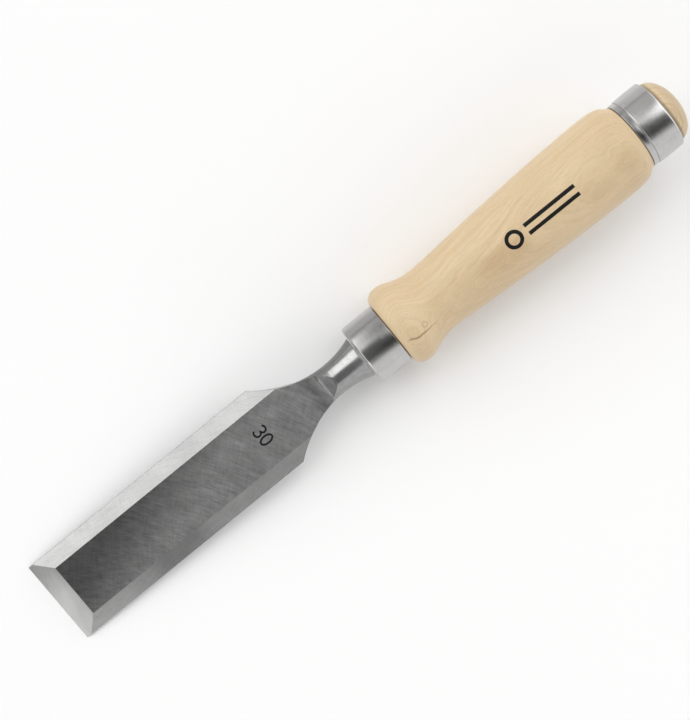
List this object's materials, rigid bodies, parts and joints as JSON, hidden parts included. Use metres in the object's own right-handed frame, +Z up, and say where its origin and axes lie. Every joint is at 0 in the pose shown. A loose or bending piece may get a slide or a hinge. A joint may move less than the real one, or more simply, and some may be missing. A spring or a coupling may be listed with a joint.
{
  "type": "bench chisel",
  "caption": "Bevel-edged bench chisel with a flat ground steel blade, a round neck, a steel ferrule, a turned pale wood handle and a steel striking hoop.",
  "frame": {"origin": "centre of the bounding box's bottom face, on the surface that the chisel lies on", "axes": "+X along the tool from the cutting edge towards the striking end, +Y across the blade's width, +Z up, away from the blade's flat back; the tool axis rises 4.6 degrees towards +X because the tool rests on its cutting edge and on the handle's bead"},
  "size_m": [0.2592, 0.03, 0.0365],
  "materials": {
    "ground_steel": "surface-ground with fine cross scratches, polished neck",
    "ferrule_steel": "satin nickel-plated",
    "hoop_steel": "satin nickel-plated",
    "pale_wood": "turned pale hardwood, satin lacquer"
  },
  "bodies": {
    "root": {"blade": "ground_steel", "ferrule": "ferrule_steel", "hoop": "hoop_steel", "handle": "pale_wood"}
  },
  "joints": []
}
